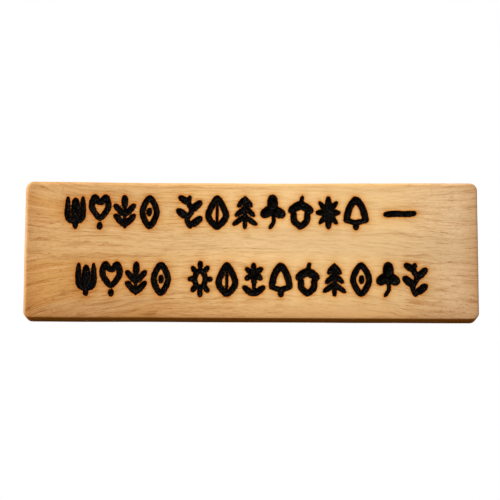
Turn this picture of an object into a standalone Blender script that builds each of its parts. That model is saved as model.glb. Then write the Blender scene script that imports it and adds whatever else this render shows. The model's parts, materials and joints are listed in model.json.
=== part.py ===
"""Wooden wall plaque: one thick plank with two rows of gouged folk ornament.

It hangs on a nail by the sawtooth hanger on its back, and four bumpers keep it off the wall.
Metres, +Z up, the front towards -Y, the origin under the middle of the bottom edge.
"""

from math import cos, pi, radians, sin

import bmesh
import bpy
from mathutils import Matrix, Vector

# Driving dimensions
LENGTH = 0.300
HEIGHT = 0.092
THICKNESS = 0.020
TOP_CORNER = 0.0055
BOTTOM_CORNER = 0.0045
ARRIS = 0.0025
GAP = 0.0003
BUMPER_STAND = 0.0035  # from the board's back to the wall

FRONT = -(THICKNESS + BUMPER_STAND) / 2
BACK = FRONT + THICKNESS

# Gouged marks: a mark's box is its group's pitch less the space between two marks
MARK_HEIGHT = 0.0226
MARK_SPACE = 0.0024
MARGIN = 0.0011  # from a mark's box to the ends of its centre lines
STROKE = 0.00228  # half the width of the boldest stroke
STROKE_DEPTH = 0.0016
GOUGE_LIFT = 0.0002  # the gouge's centre line runs this far in front of the face
WOBBLE = 0.00012  # how far the hand strays from one stroke to the next
TOP_ROW = 0.0597
BOTTOM_ROW = 0.0149
PETAL = 2.4  # a stroke's fullness: an ellipse at 2, an even width with round ends when large
BRUSH = 7.0

# Hanger and its screws
HANGER_LENGTH = 0.044
HANGER_WIDTH = 0.009
HANGER_SHEET = 0.0008
HANGER_TAB = 0.0085
HANGER_RISE = 0.0017
HANGER_TOP = 0.080
TOOTH_PITCH = 0.002
TOOTH_DEPTH = 0.0012
SCREW_AT = HANGER_LENGTH / 2 - 0.0042
SCREW_Z = HANGER_TOP - HANGER_WIDTH / 2
SCREW_SHANK = 0.001
SCREW_HEAD = 0.0024
SCREW_HEAD_HEIGHT = 0.0013
SCREW_LENGTH = 0.010
HOLE_ROUND = 0.0013

# Bumpers
BUMPER_RADIUS = 0.005
BUMPER_TAPER = 0.0006
BUMPER_EDGE = 0.0007
BUMPER_X = LENGTH / 2 - 0.014
BUMPER_LOW = 0.013
BUMPER_HIGH = HEIGHT - 0.013


def clear_scene():
    for obj in list(bpy.data.objects):
        bpy.data.objects.remove(obj)


def material(name, colour, roughness, metallic):
    made = bpy.data.materials.new(name)
    made.use_nodes = True
    shader = made.node_tree.nodes["Principled BSDF"]
    shader.inputs["Base Color"].default_value = (*colour, 1.0)
    shader.inputs["Roughness"].default_value = roughness
    shader.inputs["Metallic"].default_value = metallic
    return made


def piece(name, bm, finish):
    """Turns a bmesh into a named object with its own material."""
    mesh = bpy.data.meshes.new(name)
    bmesh.ops.recalc_face_normals(bm, faces=bm.faces)
    bm.to_mesh(mesh)
    bm.free()
    mesh.shade_smooth()
    mesh.set_sharp_from_angle(angle=radians(35))
    mesh.materials.append(finish)
    obj = bpy.data.objects.new(name, mesh)
    bpy.context.scene.collection.objects.link(obj)
    return obj


def cutter(name, mesh, cutters):
    obj = bpy.data.objects.new(name, mesh)
    cutters.objects.link(obj)
    obj.hide_render = True
    obj.display_type = "WIRE"
    return obj


def cut_with(obj, cutters):
    cut = obj.modifiers.new("cut", "BOOLEAN")
    cut.operation = "DIFFERENCE"
    cut.solver = "EXACT"
    cut.operand_type = "COLLECTION"
    cut.collection = cutters


def new_cutters(name):
    cutters = bpy.data.collections.new(name)
    bpy.context.scene.collection.children.link(cutters)
    return cutters


# Strokes: (centre line points, weight, fullness, closed), with x from -1 to 1 and z from 0 to 1 of a mark


def one(points, weight=1.0, fullness=PETAL, closed=False):
    return [(points, weight, fullness, closed)]


def both(points, weight=1.0, fullness=PETAL):
    mirrored = [(-x, z) for x, z in points]
    return one(points, weight, fullness) + one(mirrored, weight, fullness)


def around(centre_z, count, inner, outer, weight, rise=0.5):
    """Petals set round a point; rise is the reach upwards for a sideways reach of 1."""
    strokes = []
    for index in range(count):
        turn = 2 * pi * index / count
        ray = [(reach * sin(turn), centre_z + rise * reach * cos(turn)) for reach in (inner, outer)]
        strokes += one(ray, weight)
    return strokes


def sprout():
    bud = one([(0.0, 0.20), (0.0, 0.92)], 1.3)
    blades = both([(0.0, 0.15), (0.80, 0.34), (0.84, 1.0)], 0.95)
    return bud + blades + one([(0.0, -0.02), (0.0, 0.16)], 0.8)


def heart():
    lobes = both([(0.0, 0.24), (0.92, 0.64), (0.64, 0.98), (0.08, 0.76)], 0.92, BRUSH)
    return lobes + one([(0.0, -0.02), (0.0, 0.10)], 0.9)


def wheat():
    strokes = one([(0.0, -0.02), (0.0, 0.7)], 0.55, BRUSH) + one([(0.0, 0.66), (0.0, 1.02)], 1.0)
    for level in (0.06, 0.40):
        strokes += both([(0.05, level), (1.1, level + 0.34)], 0.95)
    return strokes


def lozenge():
    frame = one([(0.0, 0.96), (0.8, 0.5), (0.0, 0.04), (-0.8, 0.5)], 0.9, BRUSH, closed=True)
    return frame + one([(0.0, 0.40), (0.0, 0.60)], 0.8)


def fir():
    strokes = one([(0.0, -0.02), (0.0, 1.02)], 0.7, BRUSH)
    for level, reach in ((0.96, 0.62), (0.66, 0.86), (0.36, 1.1)):
        strokes += both([(0.0, level), (reach, level - 0.26)], 0.82)
    return strokes


def leaf():
    edges = both([(0.0, -0.02), (0.85, 0.40), (0.0, 1.02)], 0.95, BRUSH)
    return edges + one([(0.0, 0.12), (0.0, 0.78)], 0.5)


def acorn():
    cap = one([(-0.98, 0.55), (0.0, 0.74), (0.98, 0.55)], 1.25, BRUSH)
    nut = both([(0.66, 0.50), (0.60, 0.22), (-0.06, 0.02)], 0.95, BRUSH)
    return cap + nut + one([(0.0, 0.76), (0.2, 1.03)], 0.6, BRUSH)


def clover():
    stem = one([(0.0, 0.45), (0.08, 0.2), (-0.3, -0.02)], 0.6, BRUSH)
    return stem + around(0.62, 3, 0.06, 1.05, 1.55, 0.36)


def flower():
    stem = one([(0.0, 0.0), (0.0, 0.45)], 0.6, BRUSH)
    leaves = both([(0.08, 0.0), (1.05, 0.26)], 0.95)
    return stem + leaves + around(0.68, 6, 0.2, 0.9, 0.85, 0.36)


def star():
    upright = one([(0.0, -0.02), (0.0, 1.02)], 1.1)
    level = one([(-1.1, 0.5), (1.1, 0.5)], 1.1)
    return upright + level + both([(-0.85, 0.14), (0.85, 0.86)], 0.9)


def sun():
    rim = [(0.52 * sin(pi * step / 6), 0.5 + 0.27 * cos(pi * step / 6)) for step in range(12)]
    return one(rim, 0.8, BRUSH, closed=True) + around(0.5, 8, 0.7, 1.1, 0.8)


def vine():
    stem = one([(0.1, -0.02), (-0.22, 0.27), (0.22, 0.55), (-0.1, 0.8), (0.05, 1.02)], 0.8, BRUSH)
    strokes = stem + one([(-0.2, 0.32), (-1.1, 0.58)], 1.1) + one([(0.2, 0.08), (1.1, 0.32)], 1.1)
    return strokes + one([(0.2, 0.56), (1.1, 0.84)], 1.1) + one([(-0.1, 0.8), (-0.95, 1.0)], 1.0)


def bell():
    cup = both([(0.0, 0.98), (0.62, 0.66), (0.95, 0.22)], 1.0, BRUSH)
    hem = one([(-0.95, 0.26), (0.0, 0.18), (0.95, 0.26)], 0.8, BRUSH)
    return cup + hem + one([(0.0, -0.02), (0.0, 0.16)], 0.9)


def rule():
    """A single level brush stroke that closes a row."""
    return one([(-1.0, 0.45), (-0.35, 0.485), (0.4, 0.475), (1.0, 0.505)], 0.92, BRUSH)


# Each group: the row's base line, the group's two ends along X and its marks
REFRAIN = (sprout, heart, wheat, lozenge)
GROUPS = (
    (TOP_ROW, -0.1247, -0.0593, REFRAIN),
    (TOP_ROW, -0.0502, 0.0785, (vine, leaf, fir, clover, acorn, star, bell)),
    (TOP_ROW, 0.0860, 0.1108, (rule,)),
    (BOTTOM_ROW, -0.1169, -0.0511, REFRAIN),
    (BOTTOM_ROW, -0.0424, 0.1168, (sun, leaf, flower, bell, acorn, fir, lozenge, clover, vine)),
)


def along(points, share, closed):
    """The point at a share of the way along a smooth (Catmull-Rom) line through the points."""
    count = len(points)
    spans = count if closed else count - 1
    span = min(int(share * spans), spans - 1)
    t = share * spans - span

    def knot(index):
        return Vector(points[index % count] if closed else points[max(0, min(index, count - 1))])

    before, start, end, after = (knot(span + step) for step in (-1, 0, 1, 2))
    return (
        start
        + (end - before) * (t / 2)
        + (before * 2 - start * 5 + end * 4 - after) * (t * t / 2)
        + (start * 3 - before - end * 3 + after) * (t * t * t / 2)
    )


def stroke_path(stroke, centre_x, half_width, base):
    """World (x, z, radius) samples of a stroke, closer together towards its round ends."""
    points, weight, fullness, closed = stroke
    steps = 12 if closed else 2 * len(points) + 1
    path = []
    for step in range(steps + (not closed)):
        share = step / steps if closed else (1 - cos(pi * step / steps)) / 2
        x, z = along(points, share, closed)
        swell = 1.0 if closed else (1 - abs(2 * share - 1) ** fullness) ** 0.5
        path.append((
            centre_x + x * (half_width - MARGIN),
            base + MARGIN + z * (MARK_HEIGHT - 2 * MARGIN),
            STROKE * weight * max(swell, 0.12),
        ))
    return path


def tube_mesh(name, path, closed):
    """A closed six-sided tube along the path, flattened to the gouge's depth."""
    curve = bpy.data.curves.new(name, "CURVE")
    curve.dimensions = "3D"
    curve.bevel_depth = 1.0
    curve.bevel_resolution = 1
    curve.use_fill_caps = True
    spline = curve.splines.new("POLY")
    spline.points.add(len(path) - 1)
    spline.use_cyclic_u = closed
    for point, (x, z, radius) in zip(spline.points, path):
        point.co = (x, 0.0, z, 1.0)
        point.radius = radius
    holder = bpy.data.objects.new(name, curve)
    mesh = bpy.data.meshes.new_from_object(holder)
    bpy.data.objects.remove(holder)
    flatten = Matrix.Diagonal((1.0, STROKE_DEPTH / STROKE, 1.0, 1.0))
    mesh.transform(Matrix.Translation((0.0, FRONT - GOUGE_LIFT, 0.0)) @ flatten)
    bm = bmesh.new()
    bm.from_mesh(mesh)
    bmesh.ops.remove_doubles(bm, verts=bm.verts, dist=1e-6)
    bmesh.ops.recalc_face_normals(bm, faces=bm.faces)
    bm.to_mesh(mesh)
    bm.free()
    return mesh


def gouge_marks(cutters):
    for base, start, end, marks in GROUPS:
        pitch = (end - start) / len(marks)
        for place, mark in enumerate(marks):
            centre_x = start + (place + 0.5) * pitch
            for stroke in mark():
                count = len(cutters.objects)
                path = stroke_path(stroke, centre_x, (pitch - MARK_SPACE) / 2, base)
                path = [(x + WOBBLE * sin(3 * count), z + WOBBLE * cos(5 * count), r) for x, z, r in path]
                name = f"gouge_{count:03d}"
                cutter(name, tube_mesh(name, path, stroke[3]), cutters)


def round_rod(radius, start, length, sides):
    """A bmesh rod along +Y from start."""
    bm = bmesh.new()
    bmesh.ops.create_cone(
        bm, cap_ends=True, segments=sides, radius1=radius, radius2=radius, depth=length
    )
    bmesh.ops.rotate(bm, verts=bm.verts, matrix=Matrix.Rotation(radians(-90), 3, "X"))
    bmesh.ops.translate(bm, verts=bm.verts, vec=start + Vector((0.0, length / 2, 0.0)))
    return bm


def pilot_holes(cutters):
    """Blind holes from the back for the hanger's screws, open past the back face."""
    bottom = SCREW_LENGTH - HANGER_SHEET
    for side in (-1, 1):
        start = Vector((side * SCREW_AT, BACK - bottom, SCREW_Z))
        bm = round_rod(HOLE_ROUND, start, bottom + HANGER_SHEET, 12)
        mesh = bpy.data.meshes.new("pilot")
        bm.to_mesh(mesh)
        bm.free()
        cutter(f"pilot_{side:+d}", mesh, cutters)


def bevel_edges(bm, edges, radius, segments):
    bmesh.ops.bevel(
        bm, geom=edges, offset=radius, offset_type="OFFSET", segments=segments,
        profile=0.5, affect="EDGES", material=-1,
    )


def plank():
    """The board's outline: a block with rounded corners and rounded arrises."""
    bm = bmesh.new()
    bmesh.ops.create_cube(bm, size=1.0)
    bmesh.ops.scale(bm, verts=bm.verts, vec=(LENGTH, THICKNESS, HEIGHT))
    bmesh.ops.translate(bm, verts=bm.verts, vec=(0.0, (FRONT + BACK) / 2, HEIGHT / 2))
    for level, radius in ((0.0, BOTTOM_CORNER), (HEIGHT, TOP_CORNER)):
        corners = [
            edge
            for edge in bm.edges
            if abs(edge.verts[0].co.y - edge.verts[1].co.y) > THICKNESS / 2
            and all(abs(vert.co.z - level) < 1e-6 for vert in edge.verts)
        ]
        bevel_edges(bm, corners, radius, 5)
    rims = [
        edge
        for edge in bm.edges
        if any(all(abs(v.co.y - face) < 1e-6 for v in edge.verts) for face in (FRONT, BACK))
    ]
    bevel_edges(bm, rims, ARRIS, 3)
    return bm


def make_board():
    wood = material("golden_wood", (0.72, 0.45, 0.20), 0.55, 0.0)
    board = piece("board", plank(), wood)
    cutters = new_cutters("board_cutters")
    gouge_marks(cutters)
    pilot_holes(cutters)
    cut_with(board, cutters)


def hanger_outline():
    """Points (x, y, lower edge z) along the strip: a tab, the toothed bridge, a tab."""
    half = HANGER_LENGTH / 2
    foot = half - HANGER_TAB
    crest = foot - 1.2 * HANGER_RISE
    low = HANGER_TOP - HANGER_WIDTH
    seat = BACK + GAP
    teeth = round(2 * (crest - TOOTH_PITCH) / TOOTH_PITCH)
    reach = teeth * TOOTH_PITCH / 2
    points = [(-half, seat, low), (-foot, seat, low), (-crest, seat + HANGER_RISE, low)]
    for step in range(2 * teeth + 1):
        x = -reach + step * TOOTH_PITCH / 2
        points.append((x, seat + HANGER_RISE, low + (TOOTH_DEPTH if step % 2 else 0.0)))
    return points + [(crest, seat + HANGER_RISE, low), (foot, seat, low), (half, seat, low)]


def make_hanger():
    """A strip whose raised middle has a toothed lower edge, solidified to the sheet's thickness."""
    bm = bmesh.new()
    lower = [bm.verts.new(point) for point in hanger_outline()]
    edges = [bm.edges.new(pair) for pair in zip(lower, lower[1:])]
    raised = bmesh.ops.extrude_edge_only(bm, edges=edges)["geom"]
    for vert in raised:
        if isinstance(vert, bmesh.types.BMVert):
            vert.co.z = HANGER_TOP
    bmesh.ops.recalc_face_normals(bm, faces=bm.faces)
    towards_wall = sum(face.normal.y for face in bm.faces)
    thickness = -HANGER_SHEET if towards_wall > 0 else HANGER_SHEET
    bmesh.ops.solidify(bm, geom=bm.faces[:], thickness=thickness)
    steel = material("plated_steel", (0.62, 0.60, 0.55), 0.35, 1.0)
    hanger = piece("sawtooth_hanger", bm, steel)
    cutters = new_cutters("hanger_cutters")
    for side in (-1, 1):
        start = Vector((side * SCREW_AT, BACK - HANGER_SHEET, SCREW_Z))
        rod = round_rod(HOLE_ROUND, start, 4 * HANGER_SHEET, 12)
        mesh = bpy.data.meshes.new("tab_hole")
        rod.to_mesh(mesh)
        rod.free()
        cutter(f"tab_hole_{side:+d}", mesh, cutters)
    cut_with(hanger, cutters)


def make_screw(name, side):
    """A turned profile, from the point of the shank out to the domed head, with a slot."""
    seat = BACK + 2 * GAP + HANGER_SHEET
    tip = seat - SCREW_LENGTH + 2 * GAP
    profile = [
        (0.0, tip),
        (SCREW_SHANK * 0.9, tip + 0.0018),
        (SCREW_SHANK, tip + 0.0024),
        (SCREW_SHANK, seat),
        (SCREW_HEAD, seat),
        (SCREW_HEAD, seat + 0.35 * SCREW_HEAD_HEIGHT),
        (0.8 * SCREW_HEAD, seat + 0.8 * SCREW_HEAD_HEIGHT),
        (0.45 * SCREW_HEAD, seat + SCREW_HEAD_HEIGHT),
        (0.0, seat + SCREW_HEAD_HEIGHT),
    ]
    bm = bmesh.new()
    verts = [bm.verts.new((radius, y, 0.0)) for radius, y in profile]
    edges = [bm.edges.new(pair) for pair in zip(verts, verts[1:])]
    bmesh.ops.spin(
        bm, geom=verts + edges, cent=(0, 0, 0), axis=(0, 1, 0), angle=2 * pi, steps=16, use_merge=True
    )
    bmesh.ops.remove_doubles(bm, verts=bm.verts, dist=1e-6)
    bmesh.ops.translate(bm, verts=bm.verts, vec=(side * SCREW_AT, 0.0, SCREW_Z))
    steel = material(name + "_steel", (0.55, 0.55, 0.54), 0.3, 1.0)
    screw = piece(name, bm, steel)
    slot = bmesh.new()
    bmesh.ops.create_cube(slot, size=1.0)
    bmesh.ops.scale(slot, verts=slot.verts, vec=(0.0007, 0.0012, 0.006))
    bmesh.ops.rotate(slot, verts=slot.verts, matrix=Matrix.Rotation(radians(35 * side), 3, "Y"))
    slot_y = seat + SCREW_HEAD_HEIGHT
    bmesh.ops.translate(slot, verts=slot.verts, vec=(side * SCREW_AT, slot_y, SCREW_Z))
    mesh = bpy.data.meshes.new("slot")
    slot.to_mesh(mesh)
    slot.free()
    cutters = new_cutters(name + "_cutters")
    cutter(name + "_slot", mesh, cutters)
    cut_with(screw, cutters)


def make_bumper(name, side, z):
    """A low tapered disc with a rounded rim, its flat face towards the wall."""
    depth = BUMPER_STAND - GAP
    bm = bmesh.new()
    bmesh.ops.create_cone(
        bm, cap_ends=True, segments=24, depth=depth,
        radius1=BUMPER_RADIUS, radius2=BUMPER_RADIUS - BUMPER_TAPER,
    )
    bmesh.ops.rotate(bm, verts=bm.verts, matrix=Matrix.Rotation(radians(-90), 3, "X"))
    rim = [edge for edge in bm.edges if all(v.co.y > depth / 2 - 1e-6 for v in edge.verts)]
    bevel_edges(bm, rim, BUMPER_EDGE, 2)
    centre_y = BACK + GAP + depth / 2
    bmesh.ops.translate(bm, verts=bm.verts, vec=(side * BUMPER_X, centre_y, z))
    piece(name, bm, material(name + "_rubber", (0.035, 0.030, 0.027), 0.75, 0.0))


def main():
    clear_scene()
    make_board()
    make_hanger()
    for word, side in (("left", -1), ("right", 1)):
        make_screw(f"hanger_screw_{word}", side)
        make_bumper(f"bumper_top_{word}", side, BUMPER_HIGH)
        make_bumper(f"bumper_bottom_{word}", side, BUMPER_LOW)


main()
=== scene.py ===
"""Wooden wall plaque: a hand-sanded plank with two rows of burnt folk ornament, and its hanging hardware.

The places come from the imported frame. Metres, +Z up, the front towards -Y.
"""

import json
from math import cos, hypot, pi, radians, sin

import bmesh
import bpy
import numpy as np
from bpy.props import FloatProperty, FloatVectorProperty, IntProperty, PointerProperty
from mathutils import Matrix, Vector, noise

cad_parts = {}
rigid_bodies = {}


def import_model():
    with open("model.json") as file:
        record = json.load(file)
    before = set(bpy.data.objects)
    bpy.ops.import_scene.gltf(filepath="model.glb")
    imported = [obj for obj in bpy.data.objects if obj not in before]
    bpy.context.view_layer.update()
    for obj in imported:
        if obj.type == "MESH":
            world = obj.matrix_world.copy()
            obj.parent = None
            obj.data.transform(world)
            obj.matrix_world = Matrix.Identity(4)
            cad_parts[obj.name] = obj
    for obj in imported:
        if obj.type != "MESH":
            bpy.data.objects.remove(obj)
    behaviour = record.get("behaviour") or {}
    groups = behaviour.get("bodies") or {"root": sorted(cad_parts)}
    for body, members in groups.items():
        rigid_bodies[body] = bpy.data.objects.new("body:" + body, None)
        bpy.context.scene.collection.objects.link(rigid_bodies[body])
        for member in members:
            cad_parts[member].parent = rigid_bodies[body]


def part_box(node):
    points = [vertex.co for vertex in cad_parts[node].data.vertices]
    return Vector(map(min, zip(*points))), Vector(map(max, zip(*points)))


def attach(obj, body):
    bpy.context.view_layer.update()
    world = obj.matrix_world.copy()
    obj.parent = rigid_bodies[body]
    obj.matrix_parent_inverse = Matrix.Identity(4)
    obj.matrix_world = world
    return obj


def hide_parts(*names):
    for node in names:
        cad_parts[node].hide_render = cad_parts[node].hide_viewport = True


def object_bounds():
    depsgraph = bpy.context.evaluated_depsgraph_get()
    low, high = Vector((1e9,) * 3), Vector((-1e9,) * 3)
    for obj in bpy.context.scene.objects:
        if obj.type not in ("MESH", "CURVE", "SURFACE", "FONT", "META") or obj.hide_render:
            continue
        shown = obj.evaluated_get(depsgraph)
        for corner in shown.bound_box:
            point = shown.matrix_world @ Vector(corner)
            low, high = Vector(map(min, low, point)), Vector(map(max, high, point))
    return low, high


bl_info = {
    "name": "Burnt Wooden Plaque",
    "version": (1, 0, 0),
    "blender": (4, 5, 0),
    "location": "3D View > Sidebar > Plaque",
    "description": "Builds a burnt wooden wall plaque with its hanger, screws and bumpers",
    "category": "Object",
}

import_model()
CAD_LOW, CAD_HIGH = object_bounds()
BOARD_LOW, BOARD_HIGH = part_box("board")
HANGER_LOW, HANGER_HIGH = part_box("sawtooth_hanger")
FRONT, BACK = BOARD_LOW.y, BOARD_HIGH.y
HALF_LENGTH = (BOARD_HIGH.x - BOARD_LOW.x) / 2
HEIGHT = BOARD_HIGH.z - BOARD_LOW.z
BODY = "root"
SIDES = ("left", "right")
MM = 0.001
PETAL = 2.4  # a stroke's fullness: an ellipse at 2, an even width with round ends when large
BRUSH = 7.0
SEED = 7  # fixes the unevenness of the hand work, which would otherwise differ on every run
CORNER_REACH = 0.006  # how far from a corner the front grid is drawn in to round it
SCREW_INSET = 0.0042  # from the hanger's end to its screw
PILOT = 0.0013  # radius of the screws' holes
PILOT_DEPTH = 0.0095
SHEET = 0.0008  # thickness of the hanger's steel
TOOTH_PITCH, TOOTH_DEPTH = 0.002, 0.0012
SHANK = 0.001  # radius of a screw's shank
HEAD = 0.0013  # height of a screw's head


# ---------------------------------------------------------------- sizes and colours


class PlaqueBoardSizes(bpy.types.PropertyGroup):
    top_corner: FloatProperty(
        name="Top corners", description="Radius of the two upper corners", default=0.0055, unit="LENGTH"
    )
    bottom_corner: FloatProperty(
        name="Bottom corners", description="Radius of the two lower corners", default=0.0045, unit="LENGTH"
    )
    arris: FloatProperty(
        name="Arris", description="Radius that sanding gave the long edges", default=0.0025, unit="LENGTH"
    )
    mesh_step: FloatProperty(
        name="Mesh step", description="Spacing of the front face's points", default=0.0008, unit="LENGTH"
    )
    hollow: FloatProperty(
        name="Top hollow", description="How far the top edge dips", default=0.0007, unit="LENGTH"
    )
    unevenness: FloatProperty(
        name="Unevenness", description="Depth of the marks of hand sanding", default=0.0003, unit="LENGTH"
    )


class PlaqueMarkSizes(bpy.types.PropertyGroup):
    height: FloatProperty(
        name="Height", description="Height of a row of marks", default=0.0226, unit="LENGTH"
    )
    space: FloatProperty(
        name="Space", description="Room between the boxes of two marks", default=0.0024, unit="LENGTH"
    )
    margin: FloatProperty(
        name="Margin", description="From a mark's box to its centre lines", default=0.0011, unit="LENGTH"
    )
    stroke: FloatProperty(
        name="Stroke", description="Half the width of the boldest stroke", default=0.00228, unit="LENGTH"
    )
    depth: FloatProperty(
        name="Depth", description="Depth of the boldest stroke", default=0.0016, unit="LENGTH"
    )
    top_row: FloatProperty(
        name="Top row", description="Base line of the upper row", default=0.0597, unit="LENGTH"
    )
    bottom_row: FloatProperty(
        name="Bottom row", description="Base line of the lower row", default=0.0149, unit="LENGTH"
    )
    reach: FloatProperty(
        name="Warm reach", description="How far the heat has toned the wood", default=0.012, unit="LENGTH"
    )
    sides: IntProperty(name="Sides", description="Sides of a stroke's gouge", default=12)


def colour(name, description, default):
    return FloatVectorProperty(name=name, description=description, default=default, subtype="COLOR", size=3)


class PlaqueColours(bpy.types.PropertyGroup):
    left: colour("Left end", "Honey wood at the left end", (0.550, 0.272, 0.071))
    middle: colour("Middle", "Pale wood in the middle", (0.845, 0.540, 0.240))
    right: colour("Right end", "Rosy pale wood at the right end", (0.765, 0.510, 0.280))
    pale: colour("Pale fibre", "Palest fibres", (0.86, 0.60, 0.310))
    streak: colour("Streak tint", "Toning of the dark grain", (0.56, 0.36, 0.15))
    grey: colour("Grey band", "Duller wood between the rows", (0.66, 0.445, 0.225))
    rim: colour("Rim tint", "Toning along the plank's edges", (0.62, 0.42, 0.22))
    # Painted shade: a dark warm colour on the down-facing lower edge that stands in for the shade under the
    # plank.
    underside: colour("Underside", "Dark oiled wood of the lower edge", (1.0, 0.300, 0.0120))
    end_grain: colour("End grain", "Thirsty wood of the two ends", (0.50, 0.27, 0.105))
    warm: colour("Warm tint", "Toning by the heat round a stroke", (0.86, 0.73, 0.50))
    # Painted highlight: a pale colour laid on the left- and top-facing arrises, where the light falls on
    # them.
    arris_highlight: colour("Worn arris", "Pale wood where the left and top arrises are rubbed", (0.88, 0.62, 0.34))
    glow: colour("Glow tint", "Orange toning close to a stroke", (0.86, 0.58, 0.18))
    amber: colour("Amber", "Scorched wood beside a stroke", (0.62, 0.170, 0.007))
    char: colour("Char", "Burnt wood in the strokes", (0.0003, 0.0002, 0.0002))
    steel: colour("Hanger", "Plated steel of the hanger", (0.66, 0.63, 0.56))
    screw: colour("Screws", "Bright zinc of the screws", (0.60, 0.60, 0.60))
    rubber: colour("Rubber", "Dark rubber of the bumpers", (0.030, 0.026, 0.024))


class PlaqueStage(bpy.types.PropertyGroup):
    distance: FloatProperty(
        name="Distance", description="From the camera to the plaque's middle", default=1.3, unit="LENGTH"
    )
    drop: FloatProperty(
        name="Drop", description="How far below level the camera looks up from", default=radians(10.1),
        subtype="ANGLE",
    )
    roll: FloatProperty(
        name="Roll", description="Turn of the camera on its own axis", default=radians(0.25),
        subtype="ANGLE",
    )
    width: FloatProperty(
        name="Width", description="Width of the view at the plaque", default=0.3300, unit="LENGTH"
    )
    key: FloatProperty(name="Key light", description="Power of the upper left light", default=36.0)
    graze: FloatProperty(name="Grazing light", description="Power of the light from the left", default=9.0)
    rear: FloatProperty(name="Back light", description="Power of the light behind", default=6.0)
    sky: FloatProperty(name="Sky", description="Strength of the light from all round", default=0.45)


# ---------------------------------------------------------------- meshes and objects


def new_piece(name, bm, finish, *nodes, sharp=radians(40)):
    """Makes a finished piece of a bmesh: it rides on the plaque and stands for the named solids."""
    bmesh.ops.remove_doubles(bm, verts=bm.verts, dist=1e-6)
    bmesh.ops.recalc_face_normals(bm, faces=bm.faces)
    mesh = bpy.data.meshes.new(name)
    bm.to_mesh(mesh)
    bm.free()
    return finished(name, mesh, finish, *nodes, sharp=sharp)


def finished(name, mesh, finish, *nodes, sharp=radians(40)):
    mesh.shade_smooth()
    mesh.set_sharp_from_angle(angle=sharp)
    mesh.materials.clear()
    mesh.materials.append(finish)
    obj = bpy.data.objects.new(name, mesh)
    bpy.context.scene.collection.objects.link(obj)
    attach(obj, BODY)
    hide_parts(*nodes)
    return obj


def turned(profile, centre, steps):
    """A closed body turned about the Y axis through centre, from (radius, y) points."""
    bm = bmesh.new()
    verts = [bm.verts.new((radius, y, 0.0)) for radius, y in profile]
    edges = [bm.edges.new(pair) for pair in zip(verts, verts[1:])]
    bmesh.ops.spin(
        bm, geom=verts + edges, cent=(0, 0, 0), axis=(0, 1, 0), angle=2 * pi, steps=steps, use_merge=True
    )
    bmesh.ops.remove_doubles(bm, verts=bm.verts, dist=1e-6)
    bmesh.ops.recalc_face_normals(bm, faces=bm.faces)
    bmesh.ops.translate(bm, verts=bm.verts, vec=(centre.x, 0.0, centre.z))
    return bm


def mesh_of(bm, name):
    mesh = bpy.data.meshes.new(name)
    bm.to_mesh(mesh)
    bm.free()
    return mesh


def cut(mesh, cutters):
    """The mesh with all the cutter meshes taken out of it, as a new mesh."""
    scene = bpy.context.scene
    tools = bpy.data.collections.new("cutters")
    scene.collection.children.link(tools)
    for cutter in cutters:
        tools.objects.link(bpy.data.objects.new("cutter", cutter))
    blank = bpy.data.objects.new("blank", mesh)
    scene.collection.objects.link(blank)
    modifier = blank.modifiers.new("cut", "BOOLEAN")
    modifier.operation = "DIFFERENCE"
    modifier.solver = "MANIFOLD"
    modifier.operand_type = "COLLECTION"
    modifier.collection = tools
    graph = bpy.context.evaluated_depsgraph_get()
    result = bpy.data.meshes.new_from_object(blank.evaluated_get(graph))
    for obj in [blank, *tools.objects]:
        bpy.data.objects.remove(obj)
    bpy.data.collections.remove(tools)
    return result


# ---------------------------------------------------------------- the marks
# A stroke is (centre line points, weight, fullness, closed). In a mark's box, x runs from -1 to 1
# and z from 0 to 1.


def one(points, weight=1.0, fullness=PETAL, closed=False):
    return [(points, weight, fullness, closed)]


def both(points, weight=1.0, fullness=PETAL):
    mirrored = [(-x, z) for x, z in points]
    return one(points, weight, fullness) + one(mirrored, weight, fullness)


def around(centre_z, count, inner, outer, weight, rise=0.5):
    """Petals set round a point; rise is the reach upwards for a sideways reach of 1."""
    strokes = []
    for index in range(count):
        turn = 2 * pi * index / count
        ray = [(reach * sin(turn), centre_z + rise * reach * cos(turn)) for reach in (inner, outer)]
        strokes += one(ray, weight)
    return strokes


def sprout():
    bud = one([(0.0, 0.20), (0.0, 0.92)], 1.3)
    blades = both([(0.0, 0.15), (0.80, 0.34), (0.84, 1.0)], 0.95)
    return bud + blades + one([(0.0, -0.02), (0.0, 0.16)], 0.8)


def heart():
    lobes = both([(0.0, 0.24), (0.92, 0.64), (0.64, 0.98), (0.08, 0.76)], 0.92, BRUSH)
    return lobes + one([(0.0, -0.02), (0.0, 0.10)], 0.9)


def wheat():
    strokes = one([(0.0, -0.02), (0.0, 0.7)], 0.55, BRUSH) + one([(0.0, 0.66), (0.0, 1.02)], 1.0)
    for level in (0.06, 0.40):
        strokes += both([(0.05, level), (1.1, level + 0.34)], 0.95)
    return strokes


def lozenge():
    outline = one([(0.0, 0.96), (0.8, 0.5), (0.0, 0.04), (-0.8, 0.5)], 0.9, BRUSH, closed=True)
    return outline + one([(0.0, 0.40), (0.0, 0.60)], 0.8)


def fir():
    strokes = one([(0.0, -0.02), (0.0, 1.02)], 0.7, BRUSH)
    for level, reach in ((0.96, 0.62), (0.66, 0.86), (0.36, 1.1)):
        strokes += both([(0.0, level), (reach, level - 0.26)], 0.82)
    return strokes


def leaf():
    edges = both([(0.0, -0.02), (0.85, 0.40), (0.0, 1.02)], 0.95, BRUSH)
    return edges + one([(0.0, 0.12), (0.0, 0.78)], 0.5)


def acorn():
    cap = one([(-0.98, 0.55), (0.0, 0.74), (0.98, 0.55)], 1.25, BRUSH)
    nut = both([(0.66, 0.50), (0.60, 0.22), (-0.06, 0.02)], 0.95, BRUSH)
    return cap + nut + one([(0.0, 0.76), (0.2, 1.03)], 0.6, BRUSH)


def clover():
    stem = one([(0.0, 0.45), (0.08, 0.2), (-0.3, -0.02)], 0.6, BRUSH)
    return stem + around(0.62, 3, 0.06, 1.05, 1.55, 0.36)


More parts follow.
